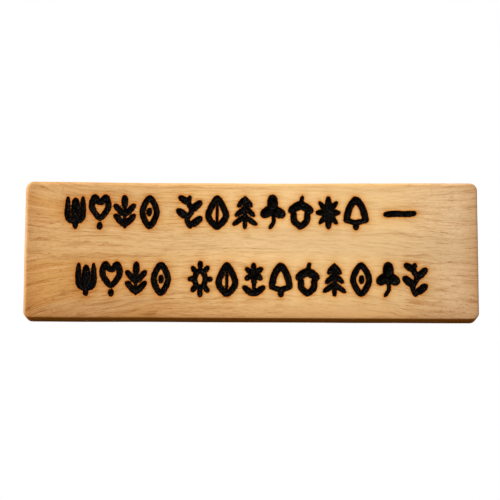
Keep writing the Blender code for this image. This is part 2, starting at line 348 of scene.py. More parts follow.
def flower():
    stem = one([(0.0, 0.0), (0.0, 0.45)], 0.6, BRUSH)
    leaves = both([(0.08, 0.0), (1.05, 0.26)], 0.95)
    return stem + leaves + around(0.68, 6, 0.2, 0.9, 0.85, 0.36)


def star():
    upright = one([(0.0, -0.02), (0.0, 1.02)], 1.1)
    level = one([(-1.1, 0.5), (1.1, 0.5)], 1.1)
    return upright + level + both([(-0.85, 0.14), (0.85, 0.86)], 0.9)


def sun():
    rim = [(0.52 * sin(pi * step / 6), 0.5 + 0.27 * cos(pi * step / 6)) for step in range(12)]
    return one(rim, 0.8, BRUSH, closed=True) + around(0.5, 8, 0.7, 1.1, 0.8)


def vine():
    stem = one([(0.1, -0.02), (-0.22, 0.27), (0.22, 0.55), (-0.1, 0.8), (0.05, 1.02)], 0.8, BRUSH)
    strokes = stem + one([(-0.2, 0.32), (-1.1, 0.58)], 1.1) + one([(0.2, 0.08), (1.1, 0.32)], 1.1)
    return strokes + one([(0.2, 0.56), (1.1, 0.84)], 1.1) + one([(-0.1, 0.8), (-0.95, 1.0)], 1.0)


def bell():
    cup = both([(0.0, 0.98), (0.62, 0.66), (0.95, 0.22)], 1.0, BRUSH)
    hem = one([(-0.95, 0.26), (0.0, 0.18), (0.95, 0.26)], 0.8, BRUSH)
    return cup + hem + one([(0.0, -0.02), (0.0, 0.16)], 0.9)


def rule():
    """A single level brush stroke that closes a row."""
    return one([(-1.0, 0.45), (-0.35, 0.485), (0.4, 0.475), (1.0, 0.505)], 0.92, BRUSH)


def mark_groups(sizes):
    """Each group: the row's base line, the group's two ends along X and its marks."""
    refrain = (sprout, heart, wheat, lozenge)
    return (
        (sizes.top_row, -0.1247, -0.0593, refrain),
        (sizes.top_row, -0.0502, 0.0785, (vine, leaf, fir, clover, acorn, star, bell)),
        (sizes.top_row, 0.0860, 0.1108, (rule,)),
        (sizes.bottom_row, -0.1169, -0.0511, refrain),
        (sizes.bottom_row, -0.0424, 0.1168, (sun, leaf, flower, bell, acorn, fir, lozenge, clover, vine)),
    )


def along(points, share, closed):
    """The point at a share of the way along a smooth (Catmull-Rom) line through the points."""
    count = len(points)
    spans = count if closed else count - 1
    span = min(int(share * spans), spans - 1)
    t = share * spans - span

    def knot(index):
        return Vector(points[index % count] if closed else points[max(0, min(index, count - 1))])

    before, start, end, after = (knot(span + step) for step in (-1, 0, 1, 2))
    return (
        start
        + (end - before) * (t / 2)
        + (before * 2 - start * 5 + end * 4 - after) * (t * t / 2)
        + (start * 3 - before - end * 3 + after) * (t * t * t / 2)
    )


def stroke_path(stroke, box, sizes, number):
    """World (x, z, radius) samples of a stroke, closer together towards its round ends."""
    points, weight, fullness, closed = stroke
    centre_x, half_width, base = box
    steps = 44 if closed else 10 * len(points)
    stray = 0.00012
    path = []
    for step in range(steps + (not closed)):
        share = step / steps if closed else (1 - cos(pi * step / steps)) / 2
        x, z = along(points, share, closed)
        swell = 1.0 if closed else (1 - abs(2 * share - 1) ** fullness) ** 0.5
        x = centre_x + x * (half_width - sizes.margin) + stray * sin(3 * number)
        z = base + sizes.margin + z * (sizes.height - 2 * sizes.margin) + stray * cos(5 * number)
        shake = noise.noise_vector(Vector((x * 300, number * 1.7, z * 300)))
        ragged = 1 + 0.05 * shake.z + 0.07 * noise.noise(Vector((x * 1100, 0.3, z * 1100)))
        radius = sizes.stroke * weight * max(swell, 0.12) * ragged
        path.append((x + 0.0001 * shake.x, z + 0.0001 * shake.y, radius))
    return path


def all_paths(sizes):
    """Every stroke's samples, with whether it is closed."""
    paths = []
    for base, start, end, marks in mark_groups(sizes):
        pitch = (end - start) / len(marks)
        for place, mark in enumerate(marks):
            box = (start + (place + 0.5) * pitch, (pitch - sizes.space) / 2, base)
            for stroke in mark():
                paths.append((stroke_path(stroke, box, sizes, len(paths)), stroke[3]))
    return paths


def gouge(path, closed, sizes):
    """A closed round tube along the path, flattened to the gouge's depth."""
    curve = bpy.data.curves.new("gouge", "CURVE")
    curve.dimensions = "3D"
    curve.bevel_depth = 1.0
    curve.bevel_resolution = sizes.sides // 2 - 2
    curve.use_fill_caps = True
    spline = curve.splines.new("POLY")
    spline.points.add(len(path) - 1)
    spline.use_cyclic_u = closed
    for point, (x, z, radius) in zip(spline.points, path):
        point.co = (x, 0.0, z, 1.0)
        point.radius = radius
    holder = bpy.data.objects.new("gouge", curve)
    mesh = bpy.data.meshes.new_from_object(holder)
    bpy.data.objects.remove(holder)
    lift = 0.0002
    flatten = Matrix.Diagonal((1.0, sizes.depth / sizes.stroke, 1.0, 1.0))
    mesh.transform(Matrix.Translation((0.0, FRONT - lift, 0.0)) @ flatten)
    bm = bmesh.new()
    bm.from_mesh(mesh)
    bmesh.ops.remove_doubles(bm, verts=bm.verts, dist=1e-6)
    bmesh.ops.recalc_face_normals(bm, faces=bm.faces)
    bm.to_mesh(mesh)
    bm.free()
    return mesh


# ---------------------------------------------------------------- the board


def rounded(across, up, radius):
    """Moves a point of a corner's square onto the rounded corner, and tells which way is out there.

    The square's L-shaped paths become rounded ones: the middle 40 % of each path is the round.
    """
    size = max(across, up)
    share = up / size / 2 if across >= up else 1 - across / size / 2
    turn = min(max((share - 0.3) / 0.4, 0.0), 1.0) * pi / 2
    arc = radius * size / CORNER_REACH
    straight = size - arc
    along_side = straight * min(share / 0.3, 1.0), straight * min((1 - share) / 0.3, 1.0)
    place = Vector((along_side[1] + arc * cos(turn), along_side[0] + arc * sin(turn)))
    return place, Vector((cos(turn), sin(turn)))


def face_sheet(sizes):
    """The flat of the front face, an even grid with rounded corners, and the ways out of its border."""
    bm = bmesh.new()
    half = HALF_LENGTH - sizes.arris
    height = HEIGHT - 2 * sizes.arris
    bmesh.ops.create_grid(
        bm,
        x_segments=round(2 * half / sizes.mesh_step),
        y_segments=round(height / sizes.mesh_step),
        size=0.5,
    )
    bmesh.ops.scale(bm, verts=bm.verts, vec=(2 * half, height, 1.0))
    bmesh.ops.rotate(bm, verts=bm.verts, matrix=Matrix.Rotation(radians(90), 3, "X"))
    bmesh.ops.translate(bm, verts=bm.verts, vec=(0.0, FRONT, HEIGHT / 2))
    ways_out = {}
    for vert in bm.verts:
        x, z = vert.co.x, vert.co.z - HEIGHT / 2
        side, level = (1 if x > 0 else -1), (1 if z > 0 else -1)
        across, up = abs(x) - half + CORNER_REACH, abs(z) - height / 2 + CORNER_REACH
        if across > 0 and up > 0:
            radius = (sizes.top_corner if z > 0 else sizes.bottom_corner) - sizes.arris
            place, out = rounded(across, up, radius)
            vert.co.x += side * (place.x - across)
            vert.co.z += level * (place.y - up)
        else:
            out = Vector((1.0, 0.0) if across > up else (0.0, 1.0))
        if vert.is_boundary:
            ways_out[vert] = Vector((side * out.x, level * out.y))
    return bm, ways_out


def edge_profile(sizes, fullness, turns=5, flats=6):
    """(outward, y) steps over the front arris, down the side and over the back arris.

    A fullness of 1 rounds both to a quarter circle; a smaller one leaves them squarer.
    """
    arris = sizes.arris
    bends = [turn * pi / 2 / turns for turn in range(1, turns + 1)]
    rises = [sin(angle) ** fullness for angle in bends]
    falls = [max(0.0, cos(angle)) ** fullness for angle in bends]
    steps = [(arris * rise, FRONT + arris * (1 - fall)) for rise, fall in zip(rises, falls)]
    for flat in range(1, flats + 1):
        steps.append((arris, FRONT + arris + (BACK - FRONT - 2 * arris) * flat / flats))
    steps += [(arris * fall, BACK - arris * (1 - rise)) for rise, fall in zip(rises, falls)]
    return steps


def plank_mesh(sizes):
    """The front sheet with its border extruded over the arrises and closed at the back."""
    bm, ways_out = face_sheet(sizes)
    border = [edge for edge in bm.edges if edge.is_boundary]
    place = {vert: (vert.co.copy(), out) for vert, out in ways_out.items()}
    for (out, y), (crisp_out, crisp_y) in zip(edge_profile(sizes, 1.0), edge_profile(sizes, 0.35)):
        grown = bmesh.ops.extrude_edge_only(bm, edges=border)["geom"]
        ring = [item for item in grown if isinstance(item, bmesh.types.BMVert)]
        border = [item for item in grown if isinstance(item, bmesh.types.BMEdge)]
        moved = {}
        for vert in ring:
            source = next(
                edge.other_vert(vert) for edge in vert.link_edges if edge.other_vert(vert) in place
            )
            start, direction = place[source]
            crisp = hypot(max(0.0, direction.x), max(0.0, -direction.y))
            reach = out + crisp * (crisp_out - out)
            depth = y + crisp * (crisp_y - y)
            vert.co = (start.x + reach * direction.x, depth, start.z + reach * direction.y)
            moved[vert] = (start, direction)
        place = moved
        border = [edge for edge in border if all(vert in place for vert in edge.verts)]
    bmesh.ops.contextual_create(bm, geom=border)
    bmesh.ops.recalc_face_normals(bm, faces=bm.faces)
    return bm


def sand_by_hand(bm, sizes):
    """Dips the top edge, and wears the outline and the face unevenly, always inwards."""
    for vert in bm.verts:
        x, y, z = vert.co
        dip = sizes.hollow * (1 - min(1.0, abs(x + 0.02) / 0.13) ** 2) * (z / HEIGHT) ** 8
        along_x = noise.noise(Vector((x * 22, 3.1, round(z / HEIGHT) * 9)))
        along_z = noise.noise(Vector((7.7, z * 45, 5.0 if x > 0 else -5.0)))
        rim_x = (abs(x) / HALF_LENGTH) ** 12
        rim_z = abs(2 * z / HEIGHT - 1) ** 8
        vert.co.z -= dip
        vert.co.z -= (1 if z > HEIGHT / 2 else -1) * rim_z * sizes.unevenness * (0.5 + 0.5 * along_x)
        vert.co.x -= (1 if x > 0 else -1) * rim_x * sizes.unevenness * (0.5 + 0.5 * along_z)
        wave = noise.noise(Vector((x * 30, 1.3, z * 40)))
        vert.co.y += 0.4 * sizes.unevenness * (0.5 + 0.5 * wave) * (1 if y < 0 else -1)


def distance_to_strokes(points, paths, reach):
    """How far each (x, z) point lies outside the nearest stroke, up to reach."""
    far = np.full(len(points), reach)
    for path, _ in paths:
        samples = np.array(path)
        low = samples[:, :2].min(0) - samples[:, 2].max() - reach
        high = samples[:, :2].max(0) + samples[:, 2].max() + reach
        near = np.flatnonzero(((points > low) & (points < high)).all(1))
        gaps = points[near, None, :] - samples[None, :, :2]
        away = np.sqrt((gaps**2).sum(2)) - samples[None, :, 2]
        far[near] = np.minimum(far[near], away.min(1))
    return far


def char_the_strokes(mesh, paths, sizes):
    """Roughens the burnt floors and stores, in mm, how far each point is from the fire."""
    count = len(mesh.vertices)
    places = np.empty(count * 3)
    mesh.vertices.foreach_get("co", places)
    places = places.reshape(-1, 3)
    gap = distance_to_strokes(places[:, [0, 2]], paths, sizes.reach)
    gap[places[:, 1] > FRONT + 0.004] = sizes.reach
    for index in np.flatnonzero(gap < -0.00012):
        x, y, z = places[index]
        lump = noise.noise_vector(Vector((x * 1400, y * 1400, z * 1400)))
        places[index] += 0.00016 * np.array(lump)
    places[:, 1] = np.maximum(places[:, 1], FRONT)
    mesh.vertices.foreach_set("co", places.reshape(-1))
    burn = mesh.attributes.new("burn_mm", "FLOAT", "POINT")
    burn.data.foreach_set("value", gap / MM)
    mesh.update()


def screw_places():
    """The middles of the two hanger screws, on the plate's centre line."""
    height = (HANGER_LOW.z + HANGER_HIGH.z) / 2
    return [Vector((side * (HANGER_HIGH.x - SCREW_INSET), BACK, height)) for side in (-1, 1)]


# ---------------------------------------------------------------- finishes


class Finish:
    """A material and short ways to add its nodes."""

    def __init__(self, name):
        self.material = bpy.data.materials.new(name)
        self.material.use_nodes = True
        self.tree = self.material.node_tree
        self.shader = self.tree.nodes["Principled BSDF"]

    def put(self, value, socket):
        if isinstance(value, bpy.types.NodeSocket):
            self.tree.links.new(value, socket)
        elif isinstance(value, (tuple, list)) and len(value) == 3 and socket.type == "RGBA":
            socket.default_value = (*value, 1.0)
        else:
            socket.default_value = value

    def node(self, kind, output=0, settings=None, **inputs):
        made = self.tree.nodes.new(kind)
        for name, value in (settings or {}).items():
            setattr(made, name, value)
        for name, value in inputs.items():
            self.put(value, made.inputs[name.replace("_", " ")])
        return made.outputs[output]

    def math(self, operation, first, second=0.0):
        made = self.tree.nodes.new("ShaderNodeMath")
        made.operation = operation
        self.put(first, made.inputs[0])
        self.put(second, made.inputs[1])
        return made.outputs[0]

    def stretch(self, vector, scale):
        made = self.tree.nodes.new("ShaderNodeVectorMath")
        made.operation = "MULTIPLY"
        self.put(vector, made.inputs[0])
        self.put(scale, made.inputs[1])
        return made.outputs[0]

    def noise(self, vector, detail=2.0, roughness=0.5):
        return self.node(
            "ShaderNodeTexNoise", Vector=vector, Scale=1.0, Detail=detail, Roughness=roughness
        )

    def step(self, value, start, end, low=0.0, high=1.0):
        """A smooth rise from low to high as the value goes from start to end."""
        made = self.tree.nodes.new("ShaderNodeMapRange")
        made.interpolation_type = "SMOOTHSTEP"
        for socket, setting in zip(made.inputs[:5], (value, start, end, low, high)):
            self.put(setting, socket)
        return made.outputs[0]

    def mix(self, share, first, second, blend="MIX"):
        made = self.tree.nodes.new("ShaderNodeMix")
        made.data_type = "RGBA"
        made.blend_type = blend
        self.put(share, made.inputs[0])
        self.put(first, made.inputs[6])
        self.put(second, made.inputs[7])
        return made.outputs[2]

    def bump(self, height, distance, strength):
        made = self.tree.nodes.new("ShaderNodeBump")
        self.put(strength, made.inputs["Strength"])
        self.put(distance, made.inputs["Distance"])
        self.put(height, made.inputs["Height"])
        return made.outputs[0]

    def shade(self, **inputs):
        for name, value in inputs.items():
            self.put(value, self.shader.inputs[name.replace("_", " ")])
        return self.material

    def place_mm(self):
        """The point's own place on the plaque, in mm."""
        where = self.node("ShaderNodeTexCoord", output=3)
        return self.stretch(where, (1000.0, 1000.0, 1000.0))

    def split(self, vector):
        made = self.tree.nodes.new("ShaderNodeSeparateXYZ")
        self.put(vector, made.inputs[0])
        return made.outputs[0], made.outputs[1], made.outputs[2]

    def join(self, x, y, z):
        made = self.tree.nodes.new("ShaderNodeCombineXYZ")
        for value, socket in zip((x, y, z), made.inputs):
            self.put(value, socket)
        return made.outputs[0]


def grain_place(finish, place):
    """Coordinates that run with the fibres: they crowd in the middle and fan out to both ends."""
    x, y, z = finish.split(place)
    share = finish.math("DIVIDE", x, HALF_LENGTH / MM)
    square = finish.math("MULTIPLY", share, share)
    spread = finish.math("MULTIPLY", square, square)
    spread = finish.math("MULTIPLY", spread, finish.step(share, -0.4, 0.4, 0.50, 0.20))
    fan = finish.math("ADD", spread, 1.0)
    sink = finish.step(share, 0.25, 1.0, 0.0, 6.0)
    sway = finish.noise(finish.stretch(place, (0.014, 0.014, 0.030)), detail=2.0)
    sway = finish.math("MULTIPLY", finish.math("SUBTRACT", sway, 0.5), 8.0)
    height = finish.math("ADD", finish.math("ADD", z, sink), sway)
    height = finish.math("DIVIDE", finish.math("SUBTRACT", height, 50.0), fan)
    return finish.join(x, y, height), height


def bare_wood(finish, colours, place, grain, level):
    """Tone that drifts from end to end, duller clouds, growth rings, streaks, fibres and pores.

    The grain is calmer right of the middle and stronger low down.
    """
    x, y, z = finish.split(place)
    side = finish.math("DIVIDE", x, HALF_LENGTH / MM)
    base = finish.mix(finish.step(side, -0.95, 0.20), tuple(colours.left), tuple(colours.middle))
    base = finish.mix(finish.step(side, 0.50, 0.95), base, tuple(colours.right))

    cloud = finish.noise(finish.stretch(grain, (0.012, 0.05, 0.085)), detail=3.0)
    band = finish.math("ABSOLUTE", finish.math("SUBTRACT", level, 2.0))
    band = finish.step(finish.math("ADD", band, finish.math("MULTIPLY", cloud, -10.0)), 9.0, 0.0)
    patch = finish.step(cloud, 0.48, 0.68)
    dull = finish.math("MAXIMUM", finish.math("MULTIPLY", band, 0.40), finish.math("MULTIPLY", patch, 0.40))
    base = finish.mix(dull, base, tuple(colours.grey))

    across = finish.math("SUBTRACT", y, 60.0)
    rise = finish.math("ADD", level, 75.0)
    ring = finish.math(
        "SQRT",
        finish.math("ADD", finish.math("MULTIPLY", across, across), finish.math("MULTIPLY", rise, rise)),
    )
    drift = finish.noise(finish.stretch(grain, (0.012, 0.05, 0.09)), detail=4.0)
    ring = finish.math("ADD", ring, finish.math("MULTIPLY", drift, 16.0))
    ring = finish.math("FRACT", finish.math("DIVIDE", ring, 2.9))
    late = finish.math("MULTIPLY", finish.step(ring, 0.40, 0.93), finish.step(ring, 1.0, 0.95))
    broken = finish.noise(finish.stretch(grain, (0.03, 0.2, 0.3)), detail=3.0, roughness=0.65)
    late = finish.math("MULTIPLY", late, finish.step(broken, 0.40, 0.62))

    streak = finish.noise(finish.stretch(grain, (0.042, 1.5, 1.9)), detail=4.0, roughness=0.62)
    streak = finish.step(streak, 0.50, 0.66)
    fibre = finish.noise(finish.stretch(grain, (0.14, 1.9, 2.2)), detail=3.0, roughness=0.6)
    fine = finish.step(fibre, 0.50, 0.66)
    pore = finish.step(finish.noise(finish.stretch(grain, (0.26, 1.9, 2.1)), detail=2.0), 0.62, 0.69)
    ends = finish.step(finish.math("ABSOLUTE", side), 0.55, 0.90)
    fleck = finish.noise(finish.stretch(grain, (0.7, 1.6, 1.7)), detail=2.0, roughness=0.7)
    fleck = finish.math("MULTIPLY", finish.step(fleck, 0.56, 0.70), ends)
    dark = finish.math("MULTIPLY", streak, 0.30)
    for layer, weight in ((late, 0.34), (fine, 0.26), (pore, 0.36), (fleck, 0.32)):
        dark = finish.math("ADD", dark, finish.math("MULTIPLY", layer, weight))
    calm = finish.step(side, 0.75, 0.55, 0.0, 0.45)
    calm = finish.math("MULTIPLY", finish.step(side, -0.2, 0.25), calm)
    force = finish.math("ADD", 1.15, finish.math("MULTIPLY", finish.step(z, 34.0, 8.0), 0.30))
    dark = finish.math("MULTIPLY", dark, finish.math("SUBTRACT", force, calm))
    dark = finish.math("MINIMUM", dark, 1.0)
    pale = finish.noise(finish.stretch(grain, (0.03, 0.9, 1.0)), detail=3.0)
    base = finish.mix(finish.step(pale, 0.55, 0.75, 0.0, 0.35), base, tuple(colours.pale))
    return finish.mix(dark, base, tuple(colours.streak), "MULTIPLY"), dark, late


def edge_tone_and_painted_light(finish, colours, wood, place, grain, late):
    """Browns the face's border and darkens it low down and at the upper right, paints highlights on the
    left and top arrises and shade on the underside, and shows end grain on the two ends.
    """
    x, y, z = finish.split(place)
    beside = finish.math("SUBTRACT", HALF_LENGTH / MM, finish.math("ABSOLUTE", x))
    beneath = finish.math("SUBTRACT", HEIGHT / MM, z)
    uneven = finish.noise(finish.stretch(grain, (0.02, 0.1, 0.16)), detail=3.0)
    uneven = finish.math("MULTIPLY", uneven, 7.0)
    rim = finish.step(finish.math("ADD", finish.math("MINIMUM", beside, z), uneven), 19.0, 3.5)
    wood = finish.mix(finish.math("MULTIPLY", rim, 0.44), wood, tuple(colours.rim), "MULTIPLY")
    side = finish.math("DIVIDE", x, HALF_LENGTH / MM)
    low = finish.math("MULTIPLY", finish.step(z, 24.0, 4.0), finish.step(side, 0.3, -0.6, 0.14, 0.28))
    right = finish.step(side, 0.40, 0.80, 0.0, 0.15)
    low = finish.math("MAXIMUM", low, finish.math("MULTIPLY", finish.step(z, 62.0, 30.0), right))
    wood = finish.mix(low, wood, tuple(colours.rim), "MULTIPLY")
    brow = finish.step(finish.math("ADD", beneath, uneven), 13.0, 3.0)
    wood = finish.mix(finish.math("MULTIPLY", brow, 0.45), wood, tuple(colours.warm), "MULTIPLY")
    facing = finish.node("ShaderNodeTexCoord", output=1)
    out_x, _, out_z = finish.split(facing)
    # Painted highlight: the arrises facing left and up are paled where the light falls on them.
    left_arris_highlight = finish.step(out_x, -0.12, -0.80, 0.0, 0.25)
    top_arris_highlight = finish.step(out_z, 0.2, 0.6, 0.0, 0.03)
    wood = finish.mix(finish.math("MAXIMUM", left_arris_highlight, top_arris_highlight), wood, tuple(colours.arris_highlight))
    # Painted shade: the down-facing underside takes a dark warm colour, darker towards the back, for the
    # shade beneath the plank.
    under = finish.step(out_z, -0.40, -0.85)
    behind = finish.step(y, FRONT / MM, BACK / MM, 0.0, 0.75)
    shaded = finish.mix(behind, tuple(colours.underside), (0.46, 0.40, 0.60), "MULTIPLY")
    wood = finish.mix(under, wood, shaded)
    end = finish.step(finish.math("ABSOLUTE", out_x), 0.75, 0.97)
    speckle = finish.noise(finish.stretch(place, (0.2, 3.0, 3.0)), detail=3.0, roughness=0.7)
    speckle = finish.step(speckle, 0.35, 0.75, 0.0, 0.8)
    thirsty = finish.mix(speckle, tuple(colours.end_grain), tuple(colours.streak), "MULTIPLY")
    thirsty = finish.mix(finish.math("MULTIPLY", late, 0.6), thirsty, tuple(colours.streak), "MULTIPLY")
    return finish.mix(finish.math("MULTIPLY", end, 0.75), wood, thirsty), under


def fire_marks(finish, colours, wood, place, grain):
    """Warm tone, amber halo, brown lip and char with painted glints, by the stored distance to the strokes.
    """
    gap = finish.node("ShaderNodeAttribute", output=2, settings={"attribute_name": "burn_mm"})
    flicker = finish.noise(finish.stretch(grain, (0.35, 1.4, 2.0)), detail=3.0)
    flicker = finish.math("SUBTRACT", flicker, 0.5)
    lick = finish.math("ADD", gap, finish.math("MULTIPLY", flicker, -2.4))
    warm = finish.step(lick, 7.5, 0.2)
    wood = finish.mix(finish.math("MULTIPLY", warm, 0.55), wood, tuple(colours.warm), "MULTIPLY")
    glow = finish.step(lick, 2.2, 0.3)
    wood = finish.mix(finish.math("MULTIPLY", glow, 0.60), wood, tuple(colours.glow), "MULTIPLY")
    halo = finish.step(lick, 0.72, 0.0)
    wood = finish.mix(finish.math("MULTIPLY", halo, 0.90), wood, tuple(colours.amber))
    ragged = finish.noise(finish.stretch(grain, (0.7, 1.1, 2.0)), detail=4.0, roughness=0.6)
    lip = finish.math("ADD", gap, finish.math("MULTIPLY", finish.math("SUBTRACT", ragged, 0.5), 1.7))
    brown = finish.step(lip, 0.24, 0.02, 0.0, 0.6)
    wood = finish.mix(brown, wood, (0.10, 0.024, 0.002))
    burnt = finish.step(lip, 0.17, -0.04)
    # Painted glints: sparse bright specks in the deep char stand for light caught on its ridges.
    glint_specks = finish.noise(finish.stretch(place, (2.0, 2.0, 2.0)), detail=2.0, roughness=0.6)
    glint_specks = finish.math("MULTIPLY", finish.step(glint_specks, 0.60, 0.67), finish.step(gap, -0.5, -1.1))
    char_and_glints = finish.mix(glint_specks, tuple(colours.char), (0.095, 0.083, 0.066))
    return finish.mix(burnt, wood, char_and_glints), burnt


def wood_finish(colours):
    """Sanded pale wood with streaks, pores, browned edges, painted highlights on the left and top arrises,
    painted shade on the underside, end grain and the burnt strokes with painted glints.
    """
    finish = Finish("golden_wood")
    place = finish.place_mm()
    grain, level = grain_place(finish, place)
    wood, dark, late = bare_wood(finish, colours, place, grain, level)
    wood, under = edge_tone_and_painted_light(finish, colours, wood, place, grain, late)
    skin, burnt = fire_marks(finish, colours, wood, place, grain)
    rough = finish.math("ADD", 0.52, finish.math("MULTIPLY", dark, 0.25))
    rough = finish.math("ADD", rough, finish.math("MULTIPLY", burnt, -0.10))
    shine = finish.step(finish.math("MAXIMUM", burnt, under), 0.0, 1.0, 0.20, 0.02)
    crackle = finish.node("ShaderNodeTexVoronoi", Vector=finish.stretch(place, (1.6, 1.6, 1.6)))
    crackle = finish.math("MULTIPLY", finish.math("MULTIPLY", crackle, burnt), -0.8)
    relief = finish.math("ADD", finish.math("MULTIPLY", dark, -0.10), crackle)
    normal = finish.bump(relief, 0.0005, 0.7)
    return finish.shade(Base_Color=skin, Roughness=rough, Normal=normal, Specular_IOR_Level=shine)


def metal_finish(name, tint, roughness):
    """Plated steel: rolled streaks, small scuffs and a duller film in patches."""
    finish = Finish(name)
    place = finish.place_mm()
    rolled = finish.noise(finish.stretch(place, (0.25, 4.0, 5.0)), detail=3.0)
    film = finish.noise(finish.stretch(place, (0.22, 0.22, 0.22)), detail=4.0, roughness=0.65)
    scuff = finish.step(finish.noise(finish.stretch(place, (1.2, 3.0, 0.5)), detail=3.0), 0.6, 0.72)
    dull = finish.step(film, 0.42, 0.68)
    dim = tuple(0.55 * part for part in tint)
    tone = finish.mix(finish.math("MULTIPLY", dull, 0.35), tuple(tint), dim)
    tone = finish.mix(finish.math("MULTIPLY", scuff, 0.25), tone, (0.82, 0.82, 0.80))
    rough = finish.math("ADD", roughness, finish.math("MULTIPLY", rolled, 0.14))
    rough = finish.math("ADD", rough, finish.math("MULTIPLY", dull, 0.16))
    relief = finish.math("ADD", finish.math("MULTIPLY", rolled, 0.3), finish.math("MULTIPLY", scuff, 0.4))
    normal = finish.bump(relief, 0.00004, 0.5)
    return finish.shade(Base_Color=tone, Metallic=1.0, Roughness=rough, Normal=normal)


def rubber_finish(colours):
    """Matte moulded rubber with a fine pebble and dust in patches."""
    finish = Finish("bumper_rubber")
    place = finish.place_mm()
    pebble = finish.noise(finish.stretch(place, (3.2, 3.2, 3.2)), detail=2.0)
    dust = finish.noise(finish.stretch(place, (0.5, 0.5, 0.5)), detail=4.0, roughness=0.7)
    dust = finish.step(dust, 0.48, 0.75, 0.0, 0.35)
    tone = finish.mix(dust, tuple(colours.rubber), (0.16, 0.145, 0.13))
    rough = finish.math("ADD", 0.62, finish.math("MULTIPLY", dust, 0.5))
    return finish.shade(Base_Color=tone, Roughness=rough, Normal=finish.bump(pebble, 0.00008, 0.6))


def floor_finish():
    """A pale floor that only shows from above."""
    finish = Finish("pale_floor")
    under = finish.node("ShaderNodeNewGeometry", output=6)
    clear = finish.tree.nodes.new("ShaderNodeBsdfTransparent")
    either = finish.tree.nodes.new("ShaderNodeMixShader")
    surface = finish.tree.nodes["Material Output"].inputs["Surface"]
    finish.shade(Base_Color=(0.86, 0.855, 0.845), Roughness=0.9, Specular_IOR_Level=0.1)
    finish.put(under, either.inputs[0])
    finish.put(finish.shader.outputs[0], either.inputs[1])
    finish.put(clear.outputs[0], either.inputs[2])
    finish.put(either.outputs[0], surface)
    return finish.material


# ---------------------------------------------------------------- operators


class PLAQUE_OT_board(bpy.types.Operator):
    """Build the sanded plank with its burnt ornament"""

    bl_idname = "plaque.board"
    bl_label = "Board"

    def execute(self, context):
        sizes, marks = context.scene.plaque_board, context.scene.plaque_marks
        noise.seed_set(SEED)
        bm = plank_mesh(sizes)
        sand_by_hand(bm, sizes)
        bmesh.ops.recalc_face_normals(bm, faces=bm.faces)
        paths = all_paths(marks)
        cutters = [gouge(path, closed, marks) for path, closed in paths]
        low, high = BACK - PILOT_DEPTH, BACK + 0.001
        pilot = [(0, low), (PILOT, low + 0.0003), (PILOT, high), (0, high)]
        cutters += [mesh_of(turned(pilot, place, 24), "pilot") for place in screw_places()]
        mesh = cut(mesh_of(bm, "plank"), cutters)
        if len(mesh.polygons) < 1000:
            raise RuntimeError("the ornament could not be cut into the plank")
        char_the_strokes(mesh, paths, marks)
        board = finished("plank", mesh, wood_finish(context.scene.plaque_colours), "board")
        return {"FINISHED"}


def hanger_strip():
    """Points (x, y, lower z) along the strip: a tab, the toothed bridge and the other tab."""
    half, low = HANGER_HIGH.x, HANGER_LOW.z
    seat, crest_y = HANGER_LOW.y, HANGER_HIGH.y - SHEET
    foot = half - 0.0085
    crest = foot - 1.2 * (crest_y - seat)
    teeth = round(2 * (crest - TOOTH_PITCH) / TOOTH_PITCH)
    points = [(-half, seat, low), (-foot, seat, low), (-crest, crest_y, low)]
    for step in range(2 * teeth + 1):
        x = (step - teeth) * TOOTH_PITCH / 2
        points.append((x, crest_y, low + (TOOTH_DEPTH if step % 2 else 0.0)))
    return points + [(crest, crest_y, low), (foot, seat, low), (half, seat, low)]


class PLAQUE_OT_hanger(bpy.types.Operator):
    """Build the pressed sawtooth hanger"""

    bl_idname = "plaque.hanger"
    bl_label = "Hanger"

    def execute(self, context):
        bm = bmesh.new()
        lower = [bm.verts.new(point) for point in hanger_strip()]
        edges = [bm.edges.new(pair) for pair in zip(lower, lower[1:])]
        grown = bmesh.ops.extrude_edge_only(bm, edges=edges)["geom"]
        for item in grown:
            if isinstance(item, bmesh.types.BMVert):
                item.co.z = HANGER_HIGH.z
        corners = [vert for vert in bm.verts if abs(abs(vert.co.x) - HANGER_HIGH.x) < 1e-6]
        bmesh.ops.bevel(
            bm, geom=corners, offset=0.0018, offset_type="OFFSET", segments=6, profile=0.5,
            affect="VERTICES", material=-1,
        )
        bmesh.ops.recalc_face_normals(bm, faces=bm.faces)
        facing = sum(face.normal.y for face in bm.faces)
        bmesh.ops.solidify(bm, geom=bm.faces[:], thickness=-SHEET if facing > 0 else SHEET)
        bmesh.ops.recalc_face_normals(bm, faces=bm.faces)
        low, high = BACK - 0.001, BACK + 0.004
        rod = [(0, low), (PILOT, low), (PILOT, high), (0, high)]
        holes = [mesh_of(turned(rod, place, 32), "hole") for place in screw_places()]
        plate = cut(mesh_of(bm, "strip"), holes)
        finish = metal_finish("plated_steel", context.scene.plaque_colours.steel, 0.26)
        hanger = finished("hanger_strip", plate, finish, "sawtooth_hanger", sharp=radians(30))
        soften = hanger.modifiers.new("edges", "BEVEL")
        soften.width = 0.00012
        soften.segments = 2
        soften.limit_method = "ANGLE"
        soften.angle_limit = radians(40)
        return {"FINISHED"}


